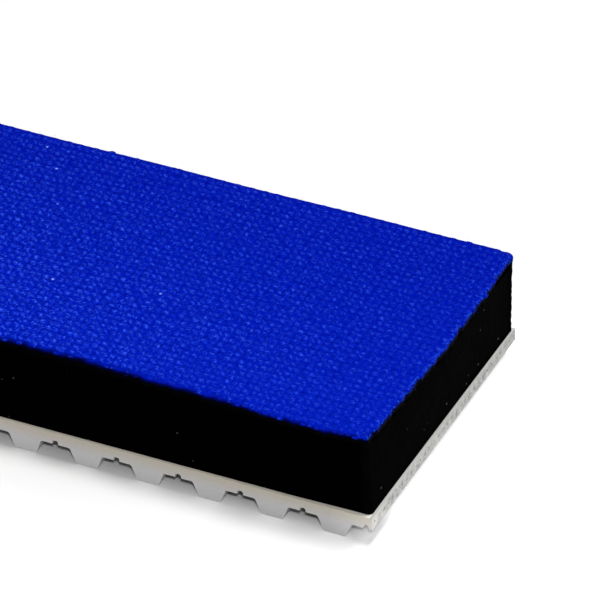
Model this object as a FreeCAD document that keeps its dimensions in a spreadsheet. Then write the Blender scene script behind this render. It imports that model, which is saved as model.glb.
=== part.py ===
import FreeCAD, Part
import os

import Sketcher

# Coated timing belt: a square-cut length lying on its teeth. The toothed polyurethane belt
# holds steel tension cords, and a cellular rubber layer and a woven cover are bonded to its back.
# X runs along the belt with the front cut at +X, Y runs across it, Z points up from the tooth tips.

# Driving dimensions in millimetres, counts and degrees: alias, value, meaning
SIZES = (
    ("tooth_count", 12, "whole teeth in the cut length"),
    ("tooth_pitch", 10.0, "distance from tooth to tooth"),
    ("tooth_height", 2.5, "tip to root land"),
    ("tooth_root_width", 5.3, "tooth width at the root land"),
    ("flank_angle", 20.0, "lean of each flank from upright"),
    ("tooth_tip_round", 0.4, "radius along the tip edges"),
    ("tooth_root_round", 0.4, "radius between flank and root land"),
    ("back_thickness", 2.0, "root land to the belt's back"),
    ("belt_width", 50.0, "width across the belt"),
    ("cut_past_nose", 1.1, "front cut past the middle of a nose groove"),
    ("nose_width", 0.95, "groove left by the winding nose"),
    ("nose_depth", 0.65, "depth of that groove above the root land"),
    ("nose_round", 0.35, "radius in the groove's bottom corners"),
    ("cord_count", 32, "cords side by side across the belt"),
    ("cord_edge_margin", 0.78125, "belt edge to the middle of the outer cord"),
    ("cord_diameter", 0.6, "steel tension cord"),
    ("cord_height", 1.0, "root land to the cords' middle"),
    ("cord_clearance", 0.02, "room round a cord in its bore"),
    ("film_thickness", 0.2, "bond film, under and over the rubber"),
    ("foam_thickness", 12.0, "cellular rubber layer"),
    ("foam_setback", 0.45, "rubber edge inside the belt's edge"),
    ("foam_corner_round", 1.2, "upright corners of the coating"),
    ("fabric_thickness", 1.5, "woven cover"),
)

# Derived sizes, as expressions on the driving ones
BELT_LENGTH = "(Sizes.tooth_count * Sizes.tooth_pitch)"
FIRST_NOSE = f"({BELT_LENGTH} / 2 - Sizes.cut_past_nose)"
FIRST_TOOTH = f"({FIRST_NOSE} - Sizes.tooth_pitch / 2)"
TIP_WIDTH = "(Sizes.tooth_root_width - 2 * Sizes.tooth_height * tan(Sizes.flank_angle))"
NOSE_ROUND = "min(Sizes.nose_round; 0.45 * Sizes.nose_width; 0.9 * Sizes.nose_depth)"
CORD_REACH = "(Sizes.belt_width / 2 - Sizes.cord_edge_margin)"
CORD_PITCH = f"(2 * {CORD_REACH} / (Sizes.cord_count - 1))"
COAT_LENGTH = f"({BELT_LENGTH} - 2 * Sizes.foam_setback)"
COAT_WIDTH = "(Sizes.belt_width - 2 * Sizes.foam_setback)"
BELT_BACK = "Sizes.tooth_height + Sizes.back_thickness"

SAME_PLACE = 1e-6

doc = FreeCAD.newDocument("coated_timing_belt")
sheet = doc.addObject("Spreadsheet::Sheet", "Sizes")
for row, (alias, value, meaning) in enumerate(SIZES, start=1):
    sheet.set(f"A{row}", meaning)
    sheet.set(f"B{row}", str(value))
    sheet.setAlias(f"B{row}", alias)
doc.recompute()


def size(expression):
    return float(sheet.evalExpression(expression))


# Tools for one body


def origin_part(body, role):
    return next(part for part in body.Origin.OriginFeatures if part.Role == role)


def new_body(label, height):
    body = doc.addObject("PartDesign::Body", label)
    body.Label = label
    body.setExpression("Placement.Base.z", height)
    return body


def new_sketch(body, name, role):
    sketch = body.newObject("Sketcher::SketchObject", name)
    sketch.AttachmentSupport = [(origin_part(body, role), "")]
    sketch.MapMode = "FlatFace"
    return sketch


def bind_dimension(sketch, constraint, name, expression):
    index = sketch.addConstraint(constraint)
    sketch.renameConstraint(index, name)
    sketch.setExpression(f"Constraints.{name}", expression)


# Closed outline of straight lines; each corner is a pair of expressions from the sketch origin
def draw_outline(sketch, corners):
    points = [FreeCAD.Vector(size(across), size(up), 0) for across, up in corners]
    for start, end in zip(points, points[1:] + points[:1]):
        sketch.addGeometry(Part.LineSegment(start, end))
    for line, (across, up) in enumerate(corners):
        following = (line + 1) % len(corners)
        sketch.addConstraint(Sketcher.Constraint("Coincident", line, 2, following, 1))
        for kind, expression in (("DistanceX", across), ("DistanceY", up)):
            place = Sketcher.Constraint(kind, -1, 1, line, 1, size(expression))
            bind_dimension(sketch, place, f"{kind}_{line}", expression)


def draw_rectangle(sketch, length, width):
    left, right = f"-{length} / 2", f"{length} / 2"
    near, far = f"-{width} / 2", f"{width} / 2"
    draw_outline(sketch, [(left, near), (right, near), (right, far), (left, far)])


def add_pad(body, name, sketch, length, side_type="One side"):
    pad = body.newObject("PartDesign::Pad", name)
    pad.Profile = sketch
    pad.SideType = side_type
    pad.setExpression("Length", length)
    return pad


def add_through_cut(body, name, sketch):
    cut = body.newObject("PartDesign::Pocket", name)
    cut.Profile = sketch
    cut.Type = "ThroughAll"
    cut.SideType = "Symmetric"
    return cut


def repeat(body, name, feature, axis_role, count, spacing, backwards=False):
    pattern = body.newObject("PartDesign::LinearPattern", name)
    pattern.Originals = [feature]
    pattern.Direction = (origin_part(body, axis_role), [""])
    pattern.Reversed = backwards
    pattern.setExpression("Occurrences", count)
    pattern.setExpression("Length", f"({count} - 1) * {spacing}")
    body.Tip = pattern


def round_edges(body, name, radius, is_wanted):
    doc.recompute()
    base = body.Tip
    edges = enumerate(base.Shape.Edges, start=1)
    names = [f"Edge{number}" for number, edge in edges if is_wanted(edge)]
    fillet = body.newObject("PartDesign::Fillet", name)
    fillet.Base = (base, names)
    fillet.setExpression("Radius", radius)
    body.Tip = fillet


# Test for straight edges that run across the belt at the given stations and height
def across_belt(stations, height):
    def is_wanted(edge):
        start, end = edge.firstVertex().Point, edge.lastVertex().Point
        level = abs(start.z - height) < SAME_PLACE and abs(end.z - height) < SAME_PLACE
        across = abs(start.x - end.x) < SAME_PLACE
        return level and across and any(abs(start.x - station) < SAME_PLACE for station in stations)
    return is_wanted


def is_upright(edge):
    start, end = edge.firstVertex().Point, edge.lastVertex().Point
    return abs(start.x - end.x) < SAME_PLACE and abs(start.y - end.y) < SAME_PLACE


# Places of the two edges of whatever repeats along the belt, such as a tooth's two roots
def edge_stations(first, width):
    count, pitch = round(size("Sizes.tooth_count")), size("Sizes.tooth_pitch")
    centres = [size(first) - number * pitch for number in range(count)]
    return [centre + side * size(width) / 2 for centre in centres for side in (-1, 1)]


# Toothed belt; its own XY plane is the root land, so the back is above it and the teeth below


def make_belt():
    body = new_body("belt_body", "Sizes.tooth_height")
    back = new_sketch(body, "back_outline", "XY_Plane")
    draw_rectangle(back, BELT_LENGTH, "Sizes.belt_width")
    add_pad(body, "back", back, "Sizes.back_thickness")
    add_teeth(body)
    add_nose_grooves(body)
    add_cord_bores(body)
    return body


def add_teeth(body):
    sketch = new_sketch(body, "tooth_outline", "XZ_Plane")
    root_left = f"{FIRST_TOOTH} - Sizes.tooth_root_width / 2"
    root_right = f"{FIRST_TOOTH} + Sizes.tooth_root_width / 2"
    tip_left, tip_right = f"{FIRST_TOOTH} - {TIP_WIDTH} / 2", f"{FIRST_TOOTH} + {TIP_WIDTH} / 2"
    tip = "-Sizes.tooth_height"
    draw_outline(sketch, [(root_left, "0"), (tip_left, tip), (tip_right, tip), (root_right, "0")])
    tooth = add_pad(body, "tooth", sketch, "Sizes.belt_width", "Symmetric")
    repeat(body, "tooth_row", tooth, "X_Axis", "Sizes.tooth_count", "Sizes.tooth_pitch", backwards=True)
    tips = across_belt(edge_stations(FIRST_TOOTH, TIP_WIDTH), size(tip))
    round_edges(body, "tooth_tip_rounds", "Sizes.tooth_tip_round", tips)
    roots = across_belt(edge_stations(FIRST_TOOTH, "Sizes.tooth_root_width"), 0)
    round_edges(body, "tooth_root_rounds", "Sizes.tooth_root_round", roots)


# Groove in the middle of each gap, left by the nose that carries the cords in the mould
def add_nose_grooves(body):
    sketch = new_sketch(body, "nose_outline", "XZ_Plane")
    left, right = f"{FIRST_NOSE} - Sizes.nose_width / 2", f"{FIRST_NOSE} + Sizes.nose_width / 2"
    bottom = "Sizes.nose_depth"
    draw_outline(sketch, [(left, "0"), (right, "0"), (right, bottom), (left, bottom)])
    groove = add_through_cut(body, "nose_groove", sketch)
    repeat(body, "nose_grooves", groove, "X_Axis", "Sizes.tooth_count", "Sizes.tooth_pitch", backwards=True)
    stations = edge_stations(FIRST_NOSE, "Sizes.nose_width")
    round_edges(body, "nose_bottom_rounds", NOSE_ROUND, across_belt(stations, size(bottom)))


def add_cord_bores(body):
    sketch = new_sketch(body, "bore_outline", "YZ_Plane")
    across, up = f"-{CORD_REACH}", "Sizes.cord_height"
    radius = "Sizes.cord_diameter / 2 + Sizes.cord_clearance"
    centre = FreeCAD.Vector(size(across), size(up), 0)
    sketch.addGeometry(Part.Circle(centre, FreeCAD.Vector(0, 0, 1), size(radius)))
    for kind, expression in (("DistanceX", across), ("DistanceY", up)):
        place = Sketcher.Constraint(kind, -1, 1, 0, 3, size(expression))
        bind_dimension(sketch, place, kind, expression)
    bind_dimension(sketch, Sketcher.Constraint("Radius", 0, size(radius)), "bore_radius", radius)
    bore = add_through_cut(body, "cord_bore", sketch)
    repeat(body, "cord_bores", bore, "Y_Axis", "Sizes.cord_count", CORD_PITCH)


# Steel cords through the belt's back, of S and Z twist in turn


def make_cords():
    cords = []
    for number in range(round(size("Sizes.cord_count"))):
        twist = "sz"[number % 2]
        cord = doc.addObject("Part::Cylinder", f"tension_cord_{number + 1:02d}_{twist}")
        cord.Label = cord.Name
        cord.Placement.Rotation = FreeCAD.Rotation(FreeCAD.Vector(0, 1, 0), 90)
        cord.setExpression("Radius", "Sizes.cord_diameter / 2")
        cord.setExpression("Height", BELT_LENGTH)
        cord.setExpression("Placement.Base.x", f"-{BELT_LENGTH} / 2")
        cord.setExpression("Placement.Base.y", f"{number} * {CORD_PITCH} - {CORD_REACH}")
        cord.setExpression("Placement.Base.z", "Sizes.tooth_height + Sizes.cord_height")
        cords.append(cord)
    return cords


# Flat layers of the coating, each laid on the ones below it


def make_layer(label, height, thickness):
    body = new_body(label, height)
    outline = new_sketch(body, f"{label}_outline", "XY_Plane")
    draw_rectangle(outline, COAT_LENGTH, COAT_WIDTH)
    body.Tip = add_pad(body, f"{label}_pad", outline, thickness)
    round_edges(body, f"{label}_corners", "Sizes.foam_corner_round", is_upright)
    return body


def make_coating():
    film, foam, fabric = "Sizes.film_thickness", "Sizes.foam_thickness", "Sizes.fabric_thickness"
    stack = (("belt_bond_film", film), ("foam_layer", foam), ("cover_bond_film", film), ("fabric_cover", fabric))
    height = BELT_BACK
    layers = []
    for label, thickness in stack:
        layers.append(make_layer(label, height, thickness))
        height = f"{height} + {thickness}"
    return layers


sub_parts = [make_belt()] + make_cords() + make_coating()
doc.recompute()

failed = [item.Name for item in doc.Objects if "Invalid" in item.State or "Error" in item.State]
failed += [part.Label for part in sub_parts if part.Shape.isNull() or not part.Shape.isValid()]
if failed:
    raise RuntimeError(f"not built: {failed}")

os.makedirs("parts", exist_ok=True)
for part in sub_parts:
    part.Shape.exportStep(f"parts/{part.Label}.step")
print(f"{len(sub_parts)} sub-parts, belt volume {sub_parts[0].Shape.Volume:.1f} cubic mm")
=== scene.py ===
import math
import bpy
import numpy as np
from mathutils import Matrix, Vector


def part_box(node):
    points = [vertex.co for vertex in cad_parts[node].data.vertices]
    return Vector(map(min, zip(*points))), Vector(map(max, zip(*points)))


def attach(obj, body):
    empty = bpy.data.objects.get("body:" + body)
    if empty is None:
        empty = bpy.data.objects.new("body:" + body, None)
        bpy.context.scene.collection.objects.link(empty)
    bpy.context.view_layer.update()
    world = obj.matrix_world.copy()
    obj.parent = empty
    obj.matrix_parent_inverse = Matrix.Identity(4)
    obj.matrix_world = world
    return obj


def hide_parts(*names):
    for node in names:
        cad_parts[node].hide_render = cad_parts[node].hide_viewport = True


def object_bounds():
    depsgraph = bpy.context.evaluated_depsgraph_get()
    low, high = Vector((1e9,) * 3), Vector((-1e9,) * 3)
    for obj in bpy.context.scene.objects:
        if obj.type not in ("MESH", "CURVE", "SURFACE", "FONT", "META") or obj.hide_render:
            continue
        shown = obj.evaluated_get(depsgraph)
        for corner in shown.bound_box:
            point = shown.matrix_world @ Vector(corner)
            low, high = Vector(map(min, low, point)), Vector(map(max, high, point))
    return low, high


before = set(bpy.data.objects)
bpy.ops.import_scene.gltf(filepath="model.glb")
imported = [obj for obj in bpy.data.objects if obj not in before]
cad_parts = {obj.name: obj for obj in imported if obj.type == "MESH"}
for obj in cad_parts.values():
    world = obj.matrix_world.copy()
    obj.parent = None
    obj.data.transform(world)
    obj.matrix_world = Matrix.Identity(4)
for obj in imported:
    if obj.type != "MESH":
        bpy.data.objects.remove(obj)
cadBox = [list(corner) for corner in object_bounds()]
mm = 0.001                                  # lengths are in millimetres, and the meshes in metres
tau = 2 * math.pi
upright = math.inf                          # the height of a wave that doesn't slant
chance = np.random.default_rng(7)           # one seed, so each run gives the same belt


# Shapes shared by the pieces

def nodeBox(node):
    # lowest and highest corner of a solid of the frame, in millimetres
    low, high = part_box(node)
    return np.array(low) / mm, np.array(high) / mm


beltHalfLength, beltHalfWidth = cadBox[1][0] / mm, cadBox[1][1] / mm
beltTop = nodeBox("belt_body")[1][2]
foamLow, foamHigh = nodeBox("foam_layer")
coverLow, coverHigh = nodeBox("fabric_cover")


def smoothStep(start, end, value):
    # 0 before start, 1 after end, and 3t^2 - 2t^3 between them
    t = np.clip((value - start) / (end - start), 0, 1)
    return t * t * (3 - 2 * t)


def smoothField(rows, columns, blurRows, blurColumns):
    # white noise blurred by a Gaussian of these radii, in samples; it wraps round and has a spread of 1
    spectrum = np.fft.rfft2(chance.standard_normal((rows, columns)))
    down = np.exp(-2 * (math.pi * blurRows * np.fft.fftfreq(rows)) ** 2)
    along = np.exp(-2 * (math.pi * blurColumns * np.fft.rfftfreq(columns)) ** 2)
    field = np.fft.irfft2(spectrum * down[:, None] * along[None, :], s=(rows, columns))
    return field / field.std()


def addWaves(waves, along, z):
    # size * sin(along / length + z / height + phase), added up
    return sum(size * np.sin(along / length + z / height + phase) for size, length, height, phase in waves)


def fromEnds(count):
    # how many samples each sample of a row is away from the nearer end
    return np.minimum(np.arange(count), np.arange(count)[::-1])


def ringQuads(rows, columns):
    # corner numbers of the cells of a grid whose last column joins the first
    row, column = np.meshgrid(np.arange(rows - 1), np.arange(columns), indexing="ij")
    following = (column + 1) % columns
    corners = [row * columns + column, row * columns + following,
               (row + 1) * columns + following, (row + 1) * columns + column]
    return np.stack(corners, axis=-1).reshape(-1, 4)


def ladderQuads(columns):
    # a ring closed by rungs: each point is joined to the one that mirrors it
    rung = np.arange(columns // 2 - 1)
    return np.stack([rung, rung + 1, columns - 2 - rung, columns - 1 - rung], axis=-1)


def closedQuads(rows, columns):
    # rings joined row by row, with a ladder across the first ring and one across the last
    ladder = ladderQuads(columns)
    return np.concatenate([ringQuads(rows, columns), ladder[:, ::-1], ladder + (rows - 1) * columns])


def makePiece(name, points, faces, material, replaced=()):
    # puts points in millimetres and quads into a mesh of its own, in place on the root body
    mesh = bpy.data.meshes.new(name)
    flat = points.reshape(-1, 3) * mm
    mesh.vertices.add(len(flat))
    mesh.vertices.foreach_set("co", flat.astype(np.float32).ravel())
    mesh.loops.add(faces.size)
    mesh.loops.foreach_set("vertex_index", faces.astype(np.int32).ravel())
    mesh.polygons.add(len(faces))
    mesh.polygons.foreach_set("loop_start", np.arange(0, faces.size, 4, dtype=np.int32))
    mesh.update(calc_edges=True)
    mesh.validate()
    mesh.shade_smooth()
    mesh.materials.append(material)
    piece = bpy.data.objects.new(name, mesh)
    bpy.context.scene.collection.objects.link(piece)
    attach(piece, "root")
    if replaced:
        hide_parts(*replaced)
    return piece


def makeTubes(name, centre, side, up, halfWidth, halfHeight, sides, material,
              replaced=(), tone=None, flat=1):
    # point = centre + cos(angle) * halfWidth * side + sin(angle)^flat * halfHeight * up, along each path
    # the UV map holds the run along the path and the share of a turn round it
    tubes, steps = centre.shape[:2]
    angle = np.arange(sides) * tau / sides
    tall = np.sign(np.sin(angle)) * np.abs(np.sin(angle)) ** flat
    across = halfWidth[..., None, None] * np.cos(angle)[:, None] * side[..., None, :]
    upward = halfHeight[..., None, None] * tall[:, None] * up[..., None, :]
    points = centre[:, :, None, :] + across + upward
    oneTube = closedQuads(steps, sides)
    faces = (np.arange(tubes)[:, None, None] * steps * sides + oneTube).reshape(-1, 4)
    piece = makePiece(name, points, faces, material, replaced)
    lengths = np.linalg.norm(np.diff(centre, axis=1), axis=2)
    run = np.concatenate([np.zeros((tubes, 1)), lengths.cumsum(1)], axis=1)
    turn = oneTube % sides
    onSeam = (turn == 0) & (oneTube.max(1, keepdims=True) % sides == sides - 1)
    turn = np.where(onSeam, sides, turn) / sides
    uv = np.stack([np.repeat(run.ravel(), sides)[faces.ravel()], np.tile(turn.ravel(), tubes)], axis=-1)
    piece.data.uv_layers.new(name="UVMap").data.foreach_set("uv", uv.astype(np.float32).ravel())
    if tone is not None:
        layer = piece.data.attributes.new("tone", "FLOAT", "POINT")
        layer.data.foreach_set("value", tone.astype(np.float32).ravel())
    return piece


# Node helpers

def addNode(tree, kind, values=None, **settings):
    # a value that is a socket is linked, and any other is set
    node = tree.nodes.new(kind)
    for key, value in settings.items():
        setattr(node, key, value)
    for socket, value in (values or {}).items():
        if isinstance(value, bpy.types.NodeSocket):
            tree.links.new(value, node.inputs[socket])
        else:
            node.inputs[socket].default_value = value
    return node


def mathNode(tree, operation, first, second=0.0, clamp=False):
    node = addNode(tree, "ShaderNodeMath", {0: first, 1: second}, operation=operation, use_clamp=clamp)
    return node.outputs[0]


def mapRange(tree, value, start, end, low=0.0, high=1.0):
    # low up to start, high from end on, and a straight run between them
    return addNode(tree, "ShaderNodeMapRange", {0: value, 1: start, 2: end, 3: low, 4: high}).outputs[0]


def mixColour(tree, factor, first, second):
    return addNode(tree, "ShaderNodeMix", {0: factor, 6: first, 7: second}, data_type="RGBA").outputs[2]


def timesColour(tree, first, second):
    # the product of two colours, which ends at 1
    node = addNode(tree, "ShaderNodeMix", {0: 1.0, 6: first, 7: second}, data_type="RGBA",
                   blend_type="MULTIPLY", clamp_result=True)
    return node.outputs[2]


def noise(tree, place, scale, detail, roughness=0.5):
    values = {"Vector": place, "Scale": scale, "Detail": detail, "Roughness": roughness}
    return addNode(tree, "ShaderNodeTexNoise", values).outputs[0]


def objectCoordinates(tree):
    return addNode(tree, "ShaderNodeTexCoord").outputs["Object"]


def axesOf(tree, place):
    # X, Y and Z of a place, in millimetres
    inMm = addNode(tree, "ShaderNodeVectorMath", {0: place, "Scale": 1 / mm}, operation="SCALE").outputs[0]
    return addNode(tree, "ShaderNodeSeparateXYZ", {0: inMm}).outputs


def uvMap(tree):
    return addNode(tree, "ShaderNodeUVMap", uv_map="UVMap").outputs[0]


def addBump(tree, shader, height, strength, depth):
    bump = addNode(tree, "ShaderNodeBump", {"Strength": strength, "Distance": depth * mm, "Height": height})
    tree.links.new(bump.outputs[0], shader.inputs["Normal"])


def newMaterial(name, **sockets):
    # a Principled shader with the sockets that are the same all over the surface
    material = bpy.data.materials.new(name)
    material.use_nodes = True
    shader = material.node_tree.nodes["Principled BSDF"]
    for socket, value in sockets.items():
        shader.inputs[socket.replace("_", " ")].default_value = value
    return material, material.node_tree, shader


# Effects that several finishes share

def newGroup(name, vector, values, outputs):
    # a group with one vector input, some values and the values that it puts out
    group = bpy.data.node_groups.new(name, "ShaderNodeTree")
    sockets = group.interface
    sockets.new_socket(vector, in_out="INPUT", socket_type="NodeSocketVector")
    for label, value in values.items():
        sockets.new_socket(label, in_out="INPUT", socket_type="NodeSocketFloat").default_value = value
    for label in outputs:
        sockets.new_socket(label, in_out="OUTPUT", socket_type="NodeSocketFloat")
    return group, addNode(group, "NodeGroupInput").outputs, addNode(group, "NodeGroupOutput").inputs


def fillGroup(tree, group, values):
    return addNode(tree, "ShaderNodeGroup", values, node_tree=group).outputs


def makeMottling():
    # slow and fine noise added up, as a value about 1 that a colour is multiplied by; scales are per metre
    group, given, out = newGroup("mottling", "Vector", dict(Patch=100.0, Fine=1500.0, Amount=0.1),
                                 ("Shade", "Grain"))
    patch = noise(group, given["Vector"], given["Patch"], detail=3.0)
    fine = noise(group, given["Vector"], given["Fine"], detail=4.0)
    aboutZero = mathNode(group, "SUBTRACT", mathNode(group, "ADD", patch, fine), 1.0)
    swing = mathNode(group, "MULTIPLY", aboutZero, given["Amount"])
    group.links.new(mathNode(group, "ADD", swing, 1.0), out["Shade"])
    group.links.new(fine, out["Grain"])
    return group


def makeSpecks():
    # sparse round specks: cells whose random number is under Share get a dot of this radius at their middle
    group, given, out = newGroup("specks", "Vector", dict(Cells=300.0, Radius=0.1, Share=0.1), ("Mask",))
    cells = addNode(group, "ShaderNodeTexVoronoi", {"Vector": given["Vector"], "Scale": given["Cells"]})
    number = addNode(group, "ShaderNodeSeparateColor", {0: cells.outputs["Color"]}).outputs[0]
    chosen = mathNode(group, "LESS_THAN", number, given["Share"])
    inside = mathNode(group, "DIVIDE", cells.outputs["Distance"], given["Radius"])
    dot = mathNode(group, "SUBTRACT", 1.0, mathNode(group, "POWER", inside, 3.0), clamp=True)
    group.links.new(mathNode(group, "MULTIPLY", chosen, dot), out["Mask"])
    return group


def makeFilaments():
    # filaments of a twisted yarn: noise drawn out along the yarn, on its UV map sheared by the twist
    group, given, out = newGroup("filaments", "UV", dict(Twist=0.2, Filaments=14.0, Drawn=0.6), ("Streak",))
    split = addNode(group, "ShaderNodeSeparateXYZ", {0: given["UV"]}).outputs
    sheared = mathNode(group, "ADD", split[1], mathNode(group, "MULTIPLY", split[0], given["Twist"]))
    around = mathNode(group, "MULTIPLY", sheared, given["Filaments"])
    along = mathNode(group, "MULTIPLY", split[0], given["Drawn"])
    place = addNode(group, "ShaderNodeCombineXYZ", {0: along, 1: around}).outputs[0]
    group.links.new(noise(group, place, scale=1.0, detail=2.0, roughness=0.6), out["Streak"])
    return group


mottling = makeMottling()
specks = makeSpecks()
filaments = makeFilaments()


# The toothed belt of cloudy white polyurethane: its solid, with the finish here

beltLook = dict(
    toothColour=(0.78, 0.77, 0.78, 1), backColour=(0.695, 0.637, 0.532, 1),
    creamFrom=2.2, creamTo=4.3,             # the belt's back is creamier than its teeth
    frontPaintedLight=(1.26, 1.26, 1.27, 1), frontFrom=53.0, frontTo=60.0,      # painted light: paler towards the front end
    cutCornerPaintedLight=(0.95, 0.95, 0.90, 1), cutFrom=-25.0, cutTo=-19.0,        # painted light: the sawn ends are paler at their near corner
    cutColour=(0.59, 0.59, 0.575, 1), cutFar=(0.52, 0.52, 0.505, 1), farFrom=-2.0, farTo=6.0,
    cutSkin=0.15, sawMarks=(0.3, 1.25),     # the saw's marks grow away from that corner
    # painted light: the ledge is paler towards the front end too
    ledgeColour=(0.84, 0.785, 0.68, 1), ledgeFrontPaintedLight=(1.0, 0.97, 0.88, 1), ledgeSkin=0.03,
    ledgeEnd=(0.57, 0.57, 0.545, 1), ledgeEndDepth=0.5,  # darker at the sawn ends
    cloud=dict(Patch=130.0, Fine=1400.0, Amount=0.10), saw=dict(Patch=900.0, Fine=3000.0),
    roughness=0.42, cutRoughness=0.67, specular=0.35, grain=0.3, bump=(0.25, 0.06),
)


def makePolyurethane():
    # the moulded sides, the sawn ends and the ledge beside the rubber each have a tone of their own; painted
    # light makes them paler towards the front end, and the sawn ends paler at their near corner
    material, tree, shader = newMaterial("cloudyPolyurethane", Specular_IOR_Level=beltLook["specular"])
    place = objectCoordinates(tree)
    x, y, z = axesOf(tree, place)
    cloud = fillGroup(tree, mottling, {"Vector": place, **beltLook["cloud"]})
    cream = mapRange(tree, z, beltLook["creamFrom"], beltLook["creamTo"])
    plain = mixColour(tree, cream, beltLook["toothColour"], beltLook["backColour"])
    # painted light: the sides are paler towards the front end
    ahead = mapRange(tree, x, beltLook["frontFrom"], beltLook["frontTo"])
    plain = timesColour(tree, plain, mixColour(tree, ahead, (1, 1, 1, 1), beltLook["frontPaintedLight"]))
    moulded = timesColour(tree, plain, cloud["Shade"])

    sawMarks = mapRange(tree, y, beltLook["cutFrom"], beltLook["cutTo"], *beltLook["sawMarks"])
    saw = fillGroup(tree, mottling, {"Vector": place, **beltLook["saw"], "Amount": sawMarks})
    # painted light: the sawn ends are paler at their near corner
    inward = mapRange(tree, y, beltLook["cutFrom"], beltLook["cutTo"])
    beyond = mapRange(tree, y, beltLook["farFrom"], beltLook["farTo"])
    sawn = mixColour(tree, beyond, beltLook["cutColour"], beltLook["cutFar"])
    sawn = mixColour(tree, inward, beltLook["cutCornerPaintedLight"], sawn)
    sawn = timesColour(tree, sawn, saw["Shade"])
    along = mathNode(tree, "ABSOLUTE", x)
    onCut = mathNode(tree, "GREATER_THAN", along, beltHalfLength - beltLook["cutSkin"])

    # painted light: the ledge is paler towards the front end
    ledge = mixColour(tree, ahead, beltLook["ledgeColour"], beltLook["ledgeFrontPaintedLight"])
    atEnd = mathNode(tree, "GREATER_THAN", along, beltHalfLength - beltLook["ledgeEndDepth"])
    ledge = mixColour(tree, atEnd, ledge, beltLook["ledgeEnd"])
    ledge = timesColour(tree, ledge, cloud["Shade"])
    onLedge = mathNode(tree, "GREATER_THAN", z, beltTop - beltLook["ledgeSkin"])

    sides = mixColour(tree, onCut, moulded, sawn)
    tree.links.new(mixColour(tree, onLedge, sides, ledge), shader.inputs["Base Color"])
    rough = mapRange(tree, onCut, 0, 1, beltLook["roughness"], beltLook["cutRoughness"])
    tree.links.new(rough, shader.inputs["Roughness"])
    grain = mathNode(tree, "ADD", mathNode(tree, "MULTIPLY", cloud["Grain"], beltLook["grain"]),
                     mathNode(tree, "MULTIPLY", onCut, saw["Grain"]))
    addBump(tree, shader, grain, *beltLook["bump"])
    return material


def giveMaterial(node, material):
    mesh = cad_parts[node].data
    mesh.materials.clear()
    mesh.materials.append(material)


giveMaterial("belt_body", makePolyurethane())
print("belt finish set")


# Tension cords: strands of seven wires in S and Z lay, cut off a little inside the belt's ends

strand = dict(
    wires=6, wireRadius=0.098, layRadius=0.198, layLength=12.0, steps=101, sides=6,
    recess=0.15, recessShare=(0.2, 1.0), ragged=0.05, leastRecess=0.02,
    drawnColour=(0.34, 0.34, 0.33, 1), brassedColour=(0.50, 0.49, 0.46, 1),
    roughness=0.42, drawn=dict(Patch=900.0, Fine=6000.0, Amount=0.5), bump=(0.3, 0.02),
)


def makeStrands(name, lay, material):
    # wire = cord axis + layRadius * (cos, sin)(wire's share of a turn + lay * run / layLength)
    # and a straight core in the middle
    cords = [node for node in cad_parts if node.startswith("tension_cord")]
    members = sorted(node for node in cords if node.endswith(lay))
    boxes = np.array([nodeBox(node) for node in members])
    axisY, axisZ = boxes[:, :, 1].mean(1), boxes[:, :, 2].mean(1)
    count = strand["wires"] + 1
    hidden = strand["recess"] * chance.uniform(*strand["recessShare"], (len(members), 1, 2))
    hidden = hidden + strand["ragged"] * chance.uniform(-1, 1, (len(members), count, 2))
    hidden = np.maximum(hidden, strand["leastRecess"])
    start = boxes[:, 0, 0][:, None] + hidden[..., 0]
    end = boxes[:, 1, 0][:, None] - hidden[..., 1]
    t = np.linspace(0, 1, strand["steps"])
    run = start[..., None] + (end - start)[..., None] * t
    radius = np.where(np.arange(count) < strand["wires"], strand["layRadius"], 0)[None, :, None]
    share = (np.arange(count) / strand["wires"])[None, :, None] + chance.uniform(0, 1, (len(members), 1, 1))
    turn = tau * (share + (1 if lay == "s" else -1) * run / strand["layLength"])
    centre = np.stack([run, axisY[:, None, None] + radius * np.cos(turn),
                       axisZ[:, None, None] + radius * np.sin(turn)], axis=-1).reshape(-1, len(t), 3)
    side, up = (np.broadcast_to(np.array(axis, float), centre.shape) for axis in ((0, 1, 0), (0, 0, 1)))
    thick = np.full(centre.shape[:2], strand["wireRadius"])
    return makeTubes(name, centre, side, up, thick, thick, strand["sides"], material, members)


def makeWireSteel(name, colour):
    material, tree, shader = newMaterial(name, Metallic=1.0, Roughness=strand["roughness"])
    drawn = fillGroup(tree, mottling, {"Vector": objectCoordinates(tree), **strand["drawn"]})
    tree.links.new(timesColour(tree, colour, drawn["Shade"]), shader.inputs["Base Color"])
    addBump(tree, shader, drawn["Grain"], *strand["bump"])
    return material


makeStrands("cordStrandsS", "s", makeWireSteel("drawnSteel", strand["drawnColour"]))
makeStrands("cordStrandsZ", "z", makeWireSteel("brassedSteel", strand["brassedColour"]))
print("cord strands laid")


# The rubber backing: a block cut with a knife, whose cut faces lean and drift a little

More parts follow.
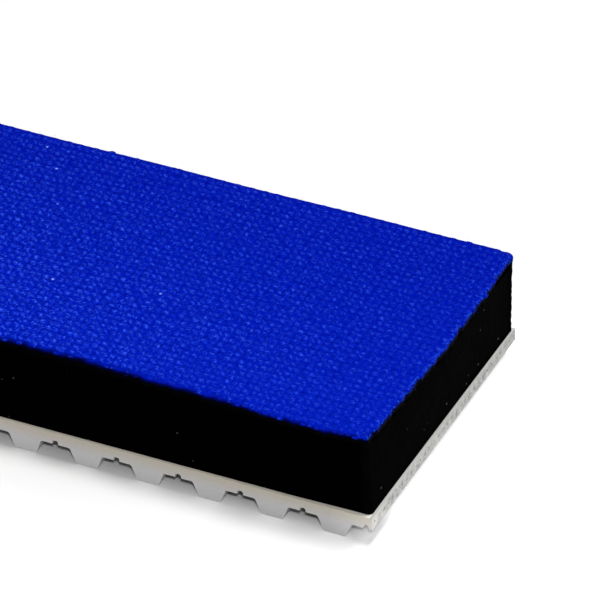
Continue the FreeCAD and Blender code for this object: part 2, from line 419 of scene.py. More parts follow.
coat = dict(
    cornerRound=1.2, step=0.25, cornerSteps=8, rows=49, leanPower=3, lipPower=10,
    frontLean=0.48, frontSkew=0.0215,       # the front cut leans out, more so towards the far side
    frontWander=0.25, wanderLength=6.5, wanderPeak=-1.0,
    frontTuck=-0.28, tuckFrom=-19.0, tuckTo=-25.0,       # and in again at its two corners
    farTuck=-0.4, farTuckFrom=16.0, farTuckTo=25.0,
    nearLean=-1.85, leanFrom=-8.0, leanTo=62.0,          # the near cut leans in, less towards the front
    nearShift=0.05, endTuck=-0.55, endTuckFrom=54.8, endTuckTo=57.2,    # and more just before the corner
    footTuck=-0.2, footFrom=46.0, footTo=59.0, footPower=4,             # its foot draws in near the front
    farLean=0.5, farEndTuck=-0.6, farEndFrom=57.0, farEndTo=60.0,       # the far cut draws in at the front
    farCorner=0.48, nearCorner=0.15,        # the front corners are sharper than the back ones
    frontRagged=0.12, nearRagged=0.18,      # waves of the upper lip: size, length, height, phase
    frontLip=((0.8, 1.1, upright, 0.3), (1.0, 0.55, upright, 1.9), (0.8, 0.31, upright, 0.5),
              (0.7, 2.3, upright, 2.7)),
    nearLip=((1.0, 3.3, upright, 0.4), (0.9, 1.4, upright, 2.1), (0.7, 0.75, upright, 0.9),
             (0.7, 0.38, upright, 1.7)),
    drift=0.06, frontBeat=7.1,              # slow waves of the four faces, given as those of the lip
    frontDrift=((1.0, 2.9, upright, 0.6),), backDrift=((1.0, 3.7, upright, 2.0), (0.8, 9.0, 6.0, 0.0)),
    nearDrift=((1.0, 11.0, 8.0, 0.0),), farDrift=((1.0, 5.1, upright, 1.1), (0.7, 13.0, -7.0, 0.0)),
    cellDepth=0.022, cellBlur=0.8, poreDepth=0.16, poreBlur=0.9, poreFrom=2.1, poreTo=3.3, calmRows=3,
)


def makeRing():
    # a rounded rectangle walked from the front end's middle round the far side to the back end's middle,
    # then its mirror image about the long axis, walked back; with the normals
    halfX, halfY, r = foamHigh[0], foamHigh[1], coat["cornerRound"]
    ySteps = int((halfY - r) / coat["step"])
    xSteps = int(2 * (halfX - r) / coat["step"])
    endY = (np.arange(ySteps) + 0.5) * (halfY - r) / ySteps
    sideX = (halfX - r) * (1 - 2 * (np.arange(xSteps) + 0.5) / xSteps)
    bend = (np.arange(coat["cornerSteps"]) + 0.5) * tau / 4 / coat["cornerSteps"]
    x = np.concatenate([np.full(ySteps, halfX), halfX - r + r * np.cos(bend), sideX,
                        r - halfX - r * np.sin(bend), np.full(ySteps, -halfX)])
    y = np.concatenate([endY, halfY - r + r * np.sin(bend), np.full(xSteps, halfY),
                        halfY - r + r * np.cos(bend), endY[::-1]])
    nx = np.concatenate([np.ones(ySteps), np.cos(bend), np.zeros(xSteps), -np.sin(bend), -np.ones(ySteps)])
    ny = np.concatenate([np.zeros(ySteps), np.sin(bend), np.ones(xSteps), np.cos(bend), np.zeros(ySteps)])
    return [np.concatenate([half, sign * half[::-1]]) for half, sign in ((x, 1), (y, -1), (nx, 1), (ny, -1))]


ringX, ringY, ringNormalX, ringNormalY = makeRing()


def cutFaces(x, y, z):
    # how far the front, back, near and far faces stand outside the plain block at a place:
    # a lean that grows with the height, a ragged upper lip and slow waves
    rise = np.clip((z - foamLow[2]) / (coverHigh[2] - foamLow[2]), 0, 1)
    upper, lip, slow = rise ** coat["leanPower"], rise ** coat["lipPower"], rise * coat["drift"]

    lean = coat["frontLean"] + coat["frontSkew"] * y
    lean = lean + coat["frontWander"] * np.cos((y - coat["wanderPeak"]) / coat["wanderLength"])
    lean = lean + coat["frontTuck"] * smoothStep(coat["tuckFrom"], coat["tuckTo"], y)
    lean = lean + coat["farTuck"] * smoothStep(coat["farTuckFrom"], coat["farTuckTo"], y)
    front = rise * lean + lip * coat["frontRagged"] * addWaves(coat["frontLip"], y, z)
    front = front + slow * addWaves(coat["frontDrift"], y, z) * np.cos(y / coat["frontBeat"])
    back = slow * addWaves(coat["backDrift"], y, z)

    tuck = coat["nearShift"] + coat["nearLean"] * (1 - smoothStep(coat["leanFrom"], coat["leanTo"], x))
    tuck = tuck + coat["endTuck"] * smoothStep(coat["endTuckFrom"], coat["endTuckTo"], x)
    near = upper * tuck + lip * coat["nearRagged"] * addWaves(coat["nearLip"], x, z)
    near = near + slow * addWaves(coat["nearDrift"], x, z)
    foot = coat["footTuck"] * smoothStep(coat["footFrom"], coat["footTo"], x)
    near = near + foot * (1 - rise) ** coat["footPower"]

    farLean = coat["farLean"] + coat["farEndTuck"] * smoothStep(coat["farEndFrom"], coat["farEndTo"], x)
    far = upper * farLean + slow * addWaves(coat["farDrift"], x, z)
    return front, back, near, far


def coatRings(z, push=0.0):
    # the block's outline at each height: ring + normal * (offset of the faces that it belongs to + push)
    front, back, near, far = cutFaces(ringX, ringY, z)
    out = np.where(ringNormalX > 0, front, back) * ringNormalX ** 2
    out = out + np.where(ringNormalY > 0, far, near) * ringNormalY ** 2 + push
    corner = 2 * np.clip(ringNormalX, 0, 1) * ringNormalY
    out = out + np.where(corner > 0, coat["farCorner"], -coat["nearCorner"]) * corner
    x, y = ringX + out * ringNormalX, ringY + out * ringNormalY
    return np.stack([x, y, np.broadcast_to(z, x.shape)], axis=-1)


rubber = dict(
    nearPaintedShadeBlack=(0.0003, 0.0003, 0.0004, 1), endBlack=(0.0013, 0.0013, 0.0015, 1),
    # painted glints, dimmer on the near cut as painted shade
    nearGlint=(0.05, 0.05, 0.05, 1), endGlint=(0.13, 0.13, 0.125, 1),
    endFrom=57.7, endTo=58.7, nearY=-22.0,  # painted shade: the near cut is blacker than the others
    cells=dict(Patch=260.0, Fine=2600.0, Amount=1.1), glints=dict(Cells=330.0, Radius=0.065, Share=0.8),
    roughness=0.85, specular=0.002, bump=(0.5, 0.08),
)


def makeCellRubber():
    # black with cells, and painted glints: sparse random paler specks; the near cut is blacker, as painted
    # shade
    material, tree, shader = newMaterial("cellRubber", Roughness=rubber["roughness"],
                                         Specular_IOR_Level=rubber["specular"])
    place = objectCoordinates(tree)
    x, y = axesOf(tree, place)[:2]
    cells = fillGroup(tree, mottling, {"Vector": place, **rubber["cells"]})
    glints = fillGroup(tree, specks, {"Vector": place, **rubber["glints"]})
    # painted shade: the near cut is blacker, except at the front end
    ahead = mapRange(tree, x, rubber["endFrom"], rubber["endTo"])
    greyer = mathNode(tree, "MAXIMUM", ahead, mathNode(tree, "GREATER_THAN", y, rubber["nearY"]))
    black = mixColour(tree, greyer, rubber["nearPaintedShadeBlack"], rubber["endBlack"])
    black = timesColour(tree, black, cells["Shade"])
    # painted glints: paler specks, dimmer on the near cut
    glint = mixColour(tree, greyer, rubber["nearGlint"], rubber["endGlint"])
    tree.links.new(mixColour(tree, glints["Mask"], black, glint), shader.inputs["Base Color"])
    addBump(tree, shader, cells["Grain"], *rubber["bump"])
    return material


def makeFoam(material):
    # cut face = outline + cell texture, with a pore wherever a second noise is high, calm at both edges
    z = np.linspace(foamLow[2], foamHigh[2], coat["rows"])[:, None]
    shape = (coat["rows"], len(ringX))
    cells = coat["cellDepth"] * smoothField(*shape, coat["cellBlur"], coat["cellBlur"])
    hollow = smoothField(*shape, coat["poreBlur"], coat["poreBlur"])
    pores = coat["poreDepth"] * smoothStep(coat["poreFrom"], coat["poreTo"], hollow)
    calm = smoothStep(0, coat["calmRows"], fromEnds(coat["rows"]))[:, None]
    points = coatRings(z, push=(cells - pores) * calm)
    return makePiece("foamBlock", points, closedQuads(*shape), material, ["foam_layer"])


film = dict(
    edgeHeight=0.05, edgeDepth=0.06,
    colour=(0.0011, 0.0011, 0.0012, 1), smear=dict(Patch=400.0, Fine=2500.0, Amount=0.8),
    roughness=0.7, specular=0.002,
)


def makeFilm(name, node, material):
    # the block's outline at four heights, drawn in at the lowest and the highest
    low, high = nodeBox(node)
    rows = np.array([low[2], low[2] + film["edgeHeight"], high[2] - film["edgeHeight"], high[2]])
    push = -film["edgeDepth"] * np.array([1.0, 0.0, 0.0, 1.0])
    points = coatRings(rows[:, None], push=push[:, None])
    return makePiece(name, points, closedQuads(len(rows), len(ringX)), material, [node])


def makeBond():
    material, tree, shader = newMaterial("bondFilm", Roughness=film["roughness"],
                                         Specular_IOR_Level=film["specular"])
    smear = fillGroup(tree, mottling, {"Vector": objectCoordinates(tree), **film["smear"]})
    tree.links.new(timesColour(tree, film["colour"], smear["Shade"]), shader.inputs["Base Color"])
    return material


foamBlock = makeFoam(makeCellRubber())
bondMaterial = makeBond()
makeFilm("beltBond", "belt_bond_film", bondMaterial)
makeFilm("coverBond", "cover_bond_film", bondMaterial)
print("rubber block cut")


# The woven cover: a ground layer and real yarns over and under each other, with cut ends

weave = dict(
    warpCount=39, weftCount=100, warpPitch=1.25, weftPitch=1.184,
    width=1.25, thickness=0.30, flat=0.35, lift=0.05, sides=8, samplesPerPitch=5,
    edgeRound=0.5, edgeDrop=0.24, ragged=0.10, nearRagged=0.27, margin=0.35,   # the cut edges
    slowPitches=3, quickPitches=0.7,        # the yarns waver slowly and quickly
    sway=0.09, quickSway=0.8, slip=0.3, heave=0.012, slub=0.05,
    tipWidth=0.72, tipSteps=3,              # their cut tips are thinner
    endPaintedHighlight=0.8, sidePaintedHighlight=0.15,             # and paler as a painted highlight, at the ends and along the sides,
    toneShare=(0.2, 1.0),                   # some more than others
    slant=0.6, uneven=0.25, mostUneven=3,   # painted sheen: pale crowns lie askew, some paler than others
    warpCrown=(2.5, 4), weftCrown=(12, 1.3),             # how narrow they are along and across a yarn
    groundDepth=0.18,                       # how far the ground layer lies under the crowns
    searchSteps=1200,                       # places tried along the near cut
)
weaveMiddle = coverHigh[2] - weave["lift"] - weave["thickness"] / 2
groundTop = coverHigh[2] - weave["groundDepth"]


# the cover's four cut edges: the plain block's faces, and how far the cuts stand outside them at the top

def frontCut(y):
    return foamHigh[0] + cutFaces(0, y, coverHigh[2])[0]


def backCut(y):
    return foamLow[0] - cutFaces(0, y, coverHigh[2])[1]


def nearCut(x):
    return foamLow[1] - cutFaces(x, 0, coverHigh[2])[2]


def farCut(x):
    return foamHigh[1] + cutFaces(x, 0, coverHigh[2])[3]


def warpStart(y):
    # where a lengthways yarn begins: the back cut, or the place where the slanted near cut has let it in
    x = np.linspace(foamLow[0], foamHigh[0], weave["searchSteps"])
    inside = y[:, None] - nearCut(x)[None, :] > weave["margin"]
    return np.maximum(backCut(y), x[np.argmax(inside, axis=1)])


def edgeFall(x, y):
    # the cover rounds down at its cut edges: a quarter circle of the distance to the nearest edge
    gap = np.minimum.reduce([frontCut(y) - x, x - backCut(y), farCut(x) - y, y - nearCut(x)])
    inside = np.clip(1 - gap / weave["edgeRound"], 0, 1)
    return weave["edgeDrop"] * (1 - np.sqrt(1 - inside ** 2))


def makeYarns(name, places, start, end, crossing, crossingPitch, over, alongX, powers, material):
    # yarn height = middle + over * lift * cos(pi * (run - first crossing) / pitch + slip) - fall at the edges
    # painted sheen: pale crown = the same cosine, with slant * distance from the yarn's middle added to the
    # run, to a power
    count = len(places)
    start = start + weave["ragged" if alongX else "nearRagged"] * chance.standard_normal(count)
    end = end + weave["ragged"] * chance.standard_normal(count)
    steps = int((end - start).max() / crossingPitch * weave["samplesPerPitch"]) + 1
    run = start[:, None] + (end - start)[:, None] * np.linspace(0, 1, steps)
    slow, quick = (weave[key] * weave["samplesPerPitch"] for key in ("slowPitches", "quickPitches"))
    sway = smoothField(count, steps, 0, slow) + weave["quickSway"] * smoothField(count, steps, 0, quick)
    across = places[:, None] + weave["sway"] * sway
    x, y = (run, across) if alongX else (across, run)

    slip = weave["slip"] * smoothField(count, steps, 0, quick)
    phase = math.pi * (run - crossing) / crossingPitch + slip
    wave = over[:, None] * weave["lift"] * np.cos(phase)
    height = weaveMiddle + wave + weave["heave"] * smoothField(count, steps, 0, quick) - edgeFall(x, y)
    centre = np.stack([x, y, height], axis=-1)
    side = np.broadcast_to(np.array((0.0, 1.0, 0.0) if alongX else (-1.0, 0.0, 0.0)), centre.shape)
    up = np.broadcast_to(np.array((0.0, 0.0, 1.0)), centre.shape)
    slubs = 1 + weave["slub"] * smoothField(count, steps, 0, slow)
    inner = smoothStep(0, weave["tipSteps"], fromEnds(steps))
    thick = slubs * (weave["tipWidth"] + (1 - weave["tipWidth"]) * inner)
    halfWidth, halfHeight = weave["width"] / 2 * thick, weave["thickness"] / 2 * thick

    crownPower, sidePower = powers
    angle = np.arange(weave["sides"]) * tau / weave["sides"]
    aside = halfWidth[..., None] * np.cos(angle) * (1 if alongX else -1)
    slanted = phase[..., None] + weave["slant"] * math.pi / crossingPitch * aside
    crown = np.clip(over[:, None, None] * np.cos(slanted), 0, 1) ** crownPower
    uneven = 1 + weave["uneven"] * smoothField(count, steps, 0, quick)
    crown = crown * np.clip(uneven, 0, weave["mostUneven"])[..., None]
    # painted highlight: the cut tips are paler
    tipHighlight = weave["endPaintedHighlight" if alongX else "sidePaintedHighlight"] * (1 - inner)
    crown = crown + (tipHighlight * chance.uniform(*weave["toneShare"], (count, 1)))[..., None]
    tone = crown * np.clip(np.sin(angle), 0, 1) ** sidePower
    return makeTubes(name, centre, side, up, halfWidth, halfHeight, weave["sides"], material,
                     tone=tone, flat=weave["flat"])


dye = dict(
    # painted sheen: the blue is greener on the near side
    nearPaintedSheenColour=(0.0001, 0.0094, 0.43, 1), farColour=(0.0001, 0.0073, 0.43, 1),
    paintedSheenAndRidgeColour=(0.035, 0.112, 0.93, 1), lintColour=(0.28, 0.36, 0.95, 1),
    backX=-15.0, frontX=55.0, nearY=-20.0, farY=20.0,    # between these places the two tones below run evenly
    paintedSheenAndMottle=(1.20, 0.76, 0.45, 0.54),          # painted sheen on the crowns, and how strong the mottling and ridges are: near back, far back, near front, far front
    paintedFalloff=(1.06, 0.90, 1.06, 0.915),         # painted light falloff: how light the whole dye is, in the same order
    warpTwist=0.25, weftTwist=-0.22, streaks=dict(Filaments=9.0, Drawn=1.3), streakShade=(0.80, 1.20),
    tufts=dict(Patch=1700.0, Fine=2500.0), litFrom=0.43, litTo=0.58,    # crowns show on the higher tufts
    windings=1500.0, ridge=0.025, ridgeTone=0.30,        # thin winding ridges of raised fibre
    lint=dict(Cells=250.0, Radius=0.06, Share=0.3),
    roughness=(0.65, 0.40), specular=0.004, bump=(0.5, 0.04),
)


def overCover(tree, x, y, corners):
    # a value that runs evenly between its four corners: across the cover at its back and front, then along it
    nearBack, farBack, nearFront, farFront = corners
    back = mapRange(tree, y, dye["nearY"], dye["farY"], nearBack, farBack)
    front = mapRange(tree, y, dye["nearY"], dye["farY"], nearFront, farFront)
    return mapRange(tree, x, dye["backX"], dye["frontX"], back, front)


def makeYarnBlue(name, twist):
    # deep blue, paler on the crowns as painted sheen, on raised fibre and on lint, with darker and lighter
    # filaments; painted light falloff across the cover
    material, tree, shader = newMaterial(name, Specular_IOR_Level=dye["specular"])
    place = objectCoordinates(tree)
    x, y = axesOf(tree, place)[:2]
    paintedSheenAndMottle, paintedFalloff = overCover(tree, x, y, dye["paintedSheenAndMottle"]), overCover(tree, x, y, dye["paintedFalloff"])
    streak = fillGroup(tree, filaments, {"UV": uvMap(tree), "Twist": twist, **dye["streaks"]})["Streak"]
    tuft = fillGroup(tree, mottling, {"Vector": place, "Amount": paintedSheenAndMottle, **dye["tufts"]})
    crown = addNode(tree, "ShaderNodeAttribute", attribute_name="tone").outputs["Fac"]
    # painted sheen on the crowns
    lit = mapRange(tree, tuft["Grain"], dye["litFrom"], dye["litTo"], 0, paintedSheenAndMottle)
    lit = mathNode(tree, "MULTIPLY", crown, lit)
    # a ridge runs wherever a noise is about a half
    winding = mathNode(tree, "SUBTRACT", noise(tree, place, dye["windings"], detail=1.0), 0.5)
    ridgeTone = mathNode(tree, "MULTIPLY", paintedSheenAndMottle, dye["ridgeTone"])
    raised = mapRange(tree, mathNode(tree, "ABSOLUTE", winding), dye["ridge"], 0, 0, ridgeTone)

    # painted sheen: greener on the near side
    farther = mapRange(tree, y, dye["nearY"], dye["farY"])
    colour = mixColour(tree, farther, dye["nearPaintedSheenColour"], dye["farColour"])
    colour = mixColour(tree, mathNode(tree, "ADD", lit, raised), colour, dye["paintedSheenAndRidgeColour"])
    shade = mathNode(tree, "MULTIPLY", mapRange(tree, streak, 0, 1, *dye["streakShade"]), tuft["Shade"])
    # painted light falloff across the cover
    colour = timesColour(tree, colour, mathNode(tree, "MULTIPLY", shade, paintedFalloff))
    lint = fillGroup(tree, specks, {"Vector": place, **dye["lint"]})["Mask"]
    tree.links.new(mixColour(tree, lint, colour, dye["lintColour"]), shader.inputs["Base Color"])
    tree.links.new(mapRange(tree, streak, 0, 1, *dye["roughness"]), shader.inputs["Roughness"])
    addBump(tree, shader, streak, *dye["bump"])
    return material


ground = dict(
    foot=((0.0, -0.03), (0.12, 0.0)),       # heights over its foot, and how far it stands out there
    head=((0.45, 0.05), (0.2, 0.03), (0.05, -0.05), (0.0, -0.22)),      # the same for depths under its top
    innerX=0.94, innerY=0.87,               # the ring on top, as shares of the outline
    bondBlack=(0.0003, 0.0003, 0.0008, 1), blue=(0.0003, 0.0085, 0.42, 1),
    soakedTo=0.3, blueDepth=0.05, soakPower=3.0,
    rimHighlightBlue=(0.012, 0.060, 0.66, 1), rimFrom=0.65, rimTo=0.25,          # painted highlight: a paler rim under its top, in patches
    frontFrom=57.0, frontTo=59.0,           # only at the front end
    farFrom=14.0, farTo=22.0, farDeeper=0.3,             # and deeper at the far side
    highlightPatchFrom=0.45, highlightPatchTo=0.6,
    fibre=dict(Patch=500.0, Fine=3000.0, Amount=0.6), roughness=0.8, specular=0.01, bump=(0.5, 0.1),
)


def makeGroundBlue():
    # black with bond below, blue above, and a painted highlight in patches along the rim at the front end
    material, tree, shader = newMaterial("coverGround", Roughness=ground["roughness"],
                                         Specular_IOR_Level=ground["specular"])
    place = objectCoordinates(tree)
    x, y, z = axesOf(tree, place)
    fibre = fillGroup(tree, mottling, {"Vector": place, **ground["fibre"]})
    soaked = mapRange(tree, z, coverLow[2] + ground["soakedTo"], groundTop - ground["blueDepth"])
    soaked = mathNode(tree, "POWER", soaked, ground["soakPower"])
    dyed = mixColour(tree, soaked, ground["bondBlack"], ground["blue"])
    front = mapRange(tree, x, ground["frontFrom"], ground["frontTo"])
    deeper = mapRange(tree, y, ground["farFrom"], ground["farTo"], 0, ground["farDeeper"])
    height = mathNode(tree, "ADD", z, deeper)
    # painted highlight along the rim, only at the front end
    rim = mapRange(tree, height, groundTop - ground["rimFrom"], groundTop - ground["rimTo"], 0, front)
    rimHighlight = mapRange(tree, fibre["Grain"], ground["highlightPatchFrom"], ground["highlightPatchTo"], 0, rim)
    dyed = mixColour(tree, rimHighlight, dyed, ground["rimHighlightBlue"])
    tree.links.new(timesColour(tree, dyed, fibre["Shade"]), shader.inputs["Base Color"])
    addBump(tree, shader, fibre["Grain"], *ground["bump"])
    return material


def makeGround(material):
    # the layer under the yarns: the block's outline with a rounded upper edge, and a smaller ring on top
    rows = np.array([coverLow[2] + height for height, push in ground["foot"]]
                    + [groundTop - depth for depth, push in ground["head"]])
    push = np.array([push for height, push in ground["foot"] + ground["head"]])
    top = np.full(len(ringX), groundTop)
    inner = np.stack([ground["innerX"] * ringX, ground["innerY"] * ringY, top], axis=-1)
    points = np.concatenate([coatRings(rows[:, None], push=push[:, None]), inner[None]])
    faces = closedQuads(len(points), len(ringX))
    return makePiece("coverGround", points, faces, material, ["fabric_cover"])


def yarnPlaces(count, pitch):
    # where parallel yarns lie, spread evenly about the middle
    return (np.arange(count) - (count - 1) / 2) * pitch


coverGround = makeGround(makeGroundBlue())
warpPlaces = yarnPlaces(weave["warpCount"], weave["warpPitch"])
weftPlaces = yarnPlaces(weave["weftCount"], weave["weftPitch"])
warpOver = np.where(np.arange(weave["warpCount"]) % 2 == 0, 1.0, -1.0)
weftOver = np.where(np.arange(weave["weftCount"]) % 2 == 0, -1.0, 1.0)
warpBlue = makeYarnBlue("warpBlue", dye["warpTwist"])
weftBlue = makeYarnBlue("weftBlue", dye["weftTwist"])
for first, label in ((0, "Odd"), (1, "Even")):
    places, over = warpPlaces[first::2], warpOver[first::2]
    makeYarns(
        "warpYarns" + label, places, warpStart(places), frontCut(places), weftPlaces[0],
        weave["weftPitch"], over, True, weave["warpCrown"], warpBlue)
    places, over = weftPlaces[first::2], weftOver[first::2]
    makeYarns(
        "weftYarns" + label, places, nearCut(places), farCut(places), warpPlaces[0],
        weave["warpPitch"], over, False, weave["weftCrown"], weftBlue)
print("cover woven")


# Loose fibres that stand out of the cut edges and lie on the weave

fuzz = dict(
    edgeCount=500, edgeLength=(0.3, 0.9), edgeSplay=0.8, edgeLift=0.25,
    edgeLowest=0.4, edgeHighest=0.15, edgeRoot=0.25,     # where the fibres of the edges start, depths
    faceCount=400, faceLength=(0.5, 1.6), faceMargin=1.0, faceRoot=0.06, faceLift=0.16,
    curl=0.45, droop=0.2, lowest=0.2, radius=0.014, tip=0.5, steps=6, sides=4,
    askew=(0.31, 0.22, 0.92),               # a direction that no fibre has, to square their sides to
    darkColour=(0.004, 0.02, 0.55, 1), paleColour=(0.02, 0.05, 0.85, 1),
    streaks=dict(Twist=0.0, Filaments=2.0, Drawn=2.0), roughness=0.4, specular=0.25,
)


def unit(vectors):
    return vectors / np.linalg.norm(vectors, axis=1, keepdims=True)


def makeFibres(material):
    # fibre = root + length * (t * direction + t^2 / 2 * curl), a thin tube that tapers to its tip
    edge, face, margin = fuzz["edgeCount"], fuzz["faceCount"], fuzz["faceMargin"]
    pick = chance.integers(0, len(ringX), edge)
    z = chance.uniform(groundTop - fuzz["edgeLowest"], coverHigh[2] - fuzz["edgeHighest"], edge)
    normal = np.stack([ringNormalX[pick], ringNormalY[pick], np.zeros(edge)], axis=-1)
    rim = coatRings(z[:, None])[np.arange(edge), pick] - fuzz["edgeRoot"] * normal
    outward = normal + fuzz["edgeSplay"] * chance.standard_normal((edge, 3))
    outward = outward + np.array([0, 0, fuzz["edgeLift"]])
    topX = chance.uniform(foamLow[0] + margin, foamHigh[0] - margin, face)
    topY = chance.uniform(foamLow[1] + margin, foamHigh[1] - margin, face)
    top = np.stack([topX, topY, np.full(face, coverHigh[2] - fuzz["faceRoot"])], axis=-1)
    lying = chance.standard_normal((face, 3)) * np.array([1, 1, 0.0]) + np.array([0, 0, fuzz["faceLift"]])
    root, direction = np.concatenate([rim, top]), unit(np.concatenate([outward, lying]))
    length = np.concatenate([chance.uniform(*fuzz["edgeLength"], edge),
                             chance.uniform(*fuzz["faceLength"], face)])
    curl = fuzz["curl"] * chance.standard_normal((edge + face, 3)) - np.array([0, 0, fuzz["droop"]])
    t = np.linspace(0, 1, fuzz["steps"])[None, :, None]
    centre = root[:, None] + length[:, None, None] * (t * direction[:, None] + t ** 2 / 2 * curl[:, None])
    centre[..., 2] = np.maximum(centre[..., 2], coverLow[2] + fuzz["lowest"])
    side = unit(np.cross(direction, np.array(fuzz["askew"])))
    up = np.cross(direction, side)
    side, up = (np.broadcast_to(axis[:, None], centre.shape) for axis in (side, up))
    thick = np.full(centre.shape[:2], fuzz["radius"]) * np.linspace(1.0, fuzz["tip"], fuzz["steps"])
    return makeTubes("looseFibres", centre, side, up, thick, thick, fuzz["sides"], material)


def makeFibreBlue():
    material, tree, shader = newMaterial("fibreBlue", Roughness=fuzz["roughness"],
                                         Specular_IOR_Level=fuzz["specular"])
    streak = fillGroup(tree, filaments, {"UV": uvMap(tree), **fuzz["streaks"]})["Streak"]
    blue = mixColour(tree, streak, fuzz["darkColour"], fuzz["paleColour"])
    tree.links.new(blue, shader.inputs["Base Color"])
    return material


looseFibres = makeFibres(makeFibreBlue())
print("loose fibres added")


# Floor, light and camera

studio = dict(
    ambient=0.13, floorHalf=4000.0, floorGap=0.02,
    floorSeen=(0.96, 0.96, 0.96, 1), nearPaintedShadow=(0.86, 0.86, 0.86, 1),    # painted shadow: greyer close to the belt
    underPaintedShadow=(0.56, 0.56, 0.56, 1), underDepth=3.5,     # and darker under it, this far in, as painted shadow
    floorBounce=(0.45, 0.45, 0.45, 1), underPaintedShade=(0.08, 0.08, 0.08, 1),      # the light thrown back, darker under the belt as painted shade
    endBounce=(0.90, 0.90, 0.90, 1), bounceFrom=58.0, bounceTo=63.0,    # more before the front end, along X
    glow=0.09, glowReach=12.0, glowDepth=2.2,            # painted light: its own faint glow, to under the belt's edge
    backGlow=0.0, headGlow=0.19, backFrom=12.0, headTo=50.0,            # beside the belt it grows along X
    endGlow=0.75, endFrom=54.0, endTo=60.0, # more of it before the front end, along X
    cornerGlow=0.33, cornerFrom=55.3, cornerTop=58.8, cornerTo=60.6,    # less at the near corner, along X
    sideFrom=-20.5, sideTo=-16.0, frontFrom=-31.0, frontTo=-25.0,       # where these begin and end, along Y
    whiteFrom=200.0, whiteTo=600.0,         # plain white further away
)
lamps = [                                   # metres; level: share of white on a surface that faces the lamp
    dict(name="frontLamp", toward=(0.377, -0.627, 0.682), distance=1.2, size=0.06, level=0.36),
    dict(name="overheadLamp", toward=(0.20, 0.15, 1.0), distance=1.2, size=0.33, level=0.66),
]


def seenDirectly(tree):
    # 1 for rays from the camera, off a shiny surface or through a clear one
    path = addNode(tree, "ShaderNodeLightPath").outputs
    seen = mathNode(tree, "MAXIMUM", path["Is Camera Ray"], path["Is Glossy Ray"])
    return mathNode(tree, "MAXIMUM", seen, path["Is Transmission Ray"])


def shaderNode(tree, kind, values):
    return addNode(tree, "ShaderNode" + kind, values).outputs[0]


def floorGlow(tree, x, y, inside, close):
    # painted light on the floor, its own glow: faint beside the belt, stronger in front of its front end
    rising = mapRange(tree, x, studio["cornerFrom"], studio["cornerTop"], 0, studio["cornerGlow"])
    falling = mapRange(tree, x, studio["cornerTop"], studio["cornerTo"], studio["cornerGlow"], 0)
    corner = mathNode(tree, "MINIMUM", rising, falling)
    end = mapRange(tree, x, studio["endFrom"], studio["endTo"], 0, studio["endGlow"])
    ahead = mapRange(tree, y, studio["sideFrom"], studio["sideTo"], corner, end)
    ahead = mathNode(tree, "MULTIPLY", ahead, mapRange(tree, y, studio["frontFrom"], studio["frontTo"]))
    beside = mapRange(tree, x, studio["backFrom"], studio["headTo"], studio["backGlow"], studio["headGlow"])
    faint = mapRange(tree, close, 0, 1, studio["glow"], beside)
    faint = mathNode(tree, "MULTIPLY", faint, mapRange(tree, inside, studio["glowDepth"], 0))
    return mathNode(tree, "MAXIMUM", faint, ahead)


def makeFloorWhite():
    # white where it is seen, with painted shadow close to and under the belt and painted light from its glow,
    # and greyer in the light that it throws back
    material = bpy.data.materials.new("floorWhite")
    material.use_nodes = True
    tree = material.node_tree
    tree.nodes.clear()
    place = objectCoordinates(tree)
    x, y = axesOf(tree, place)[:2]
    insideX = mathNode(tree, "SUBTRACT", beltHalfLength, mathNode(tree, "ABSOLUTE", x))
    insideY = mathNode(tree, "SUBTRACT", beltHalfWidth, mathNode(tree, "ABSOLUTE", y))
    inside = mathNode(tree, "MINIMUM", insideX, insideY)
    under = mapRange(tree, inside, 0, studio["underDepth"])
    close = mapRange(tree, inside, -studio["glowReach"], 0)
    # painted shadow close to and under the belt
    seen = mixColour(tree, close, studio["floorSeen"], studio["nearPaintedShadow"])
    seen = mixColour(tree, under, seen, studio["underPaintedShadow"])
    # painted light: the floor's own glow
    glow = shaderNode(tree, "Emission", {"Strength": floorGlow(tree, x, y, inside, close)})
    lit = shaderNode(tree, "AddShader", {0: shaderNode(tree, "BsdfDiffuse", {"Color": seen}), 1: glow})
    away = addNode(tree, "ShaderNodeVectorMath", {0: place}, operation="LENGTH").outputs["Value"]
    distant = mapRange(tree, away, studio["whiteFrom"] * mm, studio["whiteTo"] * mm)
    plain = shaderNode(tree, "Emission", {"Strength": 1.0})
    shown = shaderNode(tree, "MixShader", {0: distant, 1: lit, 2: plain})
    thrown = mapRange(tree, x, studio["bounceFrom"], studio["bounceTo"])
    thrown = mixColour(tree, thrown, studio["floorBounce"], studio["endBounce"])
    # painted shade: less light thrown back from under the belt
    thrown = mixColour(tree, under, thrown, studio["underPaintedShade"])
    bounce = shaderNode(tree, "BsdfDiffuse", {"Color": thrown})
    whole = shaderNode(tree, "MixShader", {0: seenDirectly(tree), 1: bounce, 2: shown})
    addNode(tree, "ShaderNodeOutputMaterial", {0: whole})
    return material


def makeFloor():
    # one flat square just under the belt
    half, low = studio["floorHalf"] * mm, -studio["floorGap"] * mm
    mesh = bpy.data.meshes.new("floor")
    corners = [(-half, -half, low), (half, -half, low), (half, half, low), (-half, half, low)]
    mesh.from_pydata(corners, [], [(0, 1, 2, 3)])
    mesh.materials.append(makeFloorWhite())
    floor = bpy.data.objects.new("floor", mesh)
    bpy.context.scene.collection.objects.link(floor)


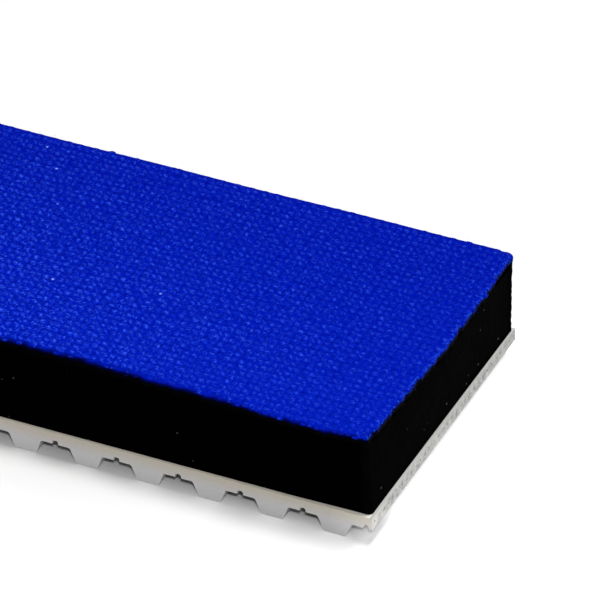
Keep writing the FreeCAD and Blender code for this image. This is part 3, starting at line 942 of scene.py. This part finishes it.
def makeWorld():
    # soft light from all round, and plain white where it is seen
    world = bpy.data.worlds.new("studioAir")
    bpy.context.scene.world = world
    world.use_nodes = True
    tree = world.node_tree
    tree.nodes.clear()
    soft = shaderNode(tree, "Background", {"Color": (1, 1, 1, 1), "Strength": studio["ambient"]})
    plain = shaderNode(tree, "Background", {"Color": (1, 1, 1, 1), "Strength": 1.0})
    whole = shaderNode(tree, "MixShader", {0: seenDirectly(tree), 1: soft, 2: plain})
    addNode(tree, "ShaderNodeOutputWorld", {0: whole})


def makeLamp(name, toward, distance, size, level):
    # a square lamp, aimed at the belt: watts = level * pi^2 * distance^2
    toward = Vector(toward).normalized()
    light = bpy.data.lights.new(name, "AREA")
    light.shape = "SQUARE"
    light.size = size
    light.energy = level * math.pi ** 2 * distance ** 2
    lamp = bpy.data.objects.new(name, light)
    lamp.location = toward * distance
    lamp.rotation_euler = toward.to_track_quat("Z", "Y").to_euler()
    bpy.context.scene.collection.objects.link(lamp)


shot = dict(
    azimuth=26.84, elevation=36.16, roll=2.15,           # degrees
    focus=6661.0, imageSide=600.0, sensor=36.0,          # focal length in pixels of the image, sensor in mm
    aside=-10.124, above=30.978, away=951.79,            # from the foot of the rubber's near front corner
)


def makeCamera():
    # the view's right and up are the level ones, turned by the roll; the camera stands back along the view
    a, e, r = (math.radians(shot[key]) for key in ("azimuth", "elevation", "roll"))
    ahead = Vector((-math.sin(a) * math.cos(e), math.cos(a) * math.cos(e), -math.sin(e)))
    level = Vector((math.cos(a), math.sin(a), 0))
    above = level.cross(ahead)
    right = math.cos(r) * level - math.sin(r) * above
    up = math.cos(r) * above + math.sin(r) * level
    corner = Vector((foamHigh[0], foamLow[1], beltTop))
    place = corner + shot["aside"] * right + shot["above"] * up - shot["away"] * ahead
    lens = bpy.data.cameras.new("camera")
    lens.sensor_width = shot["sensor"]
    lens.lens = shot["focus"] / shot["imageSide"] * shot["sensor"]
    camera = bpy.data.objects.new("camera", lens)
    turn = Matrix((right, up, -ahead)).transposed().to_4x4()
    camera.matrix_world = Matrix.Translation(place * mm) @ turn
    bpy.context.scene.collection.objects.link(camera)
    bpy.context.scene.camera = camera


makeFloor()
makeWorld()
for lamp in lamps:
    makeLamp(**lamp)
makeCamera()
bpy.context.scene.view_settings.view_transform = "Standard"
print("studio ready")
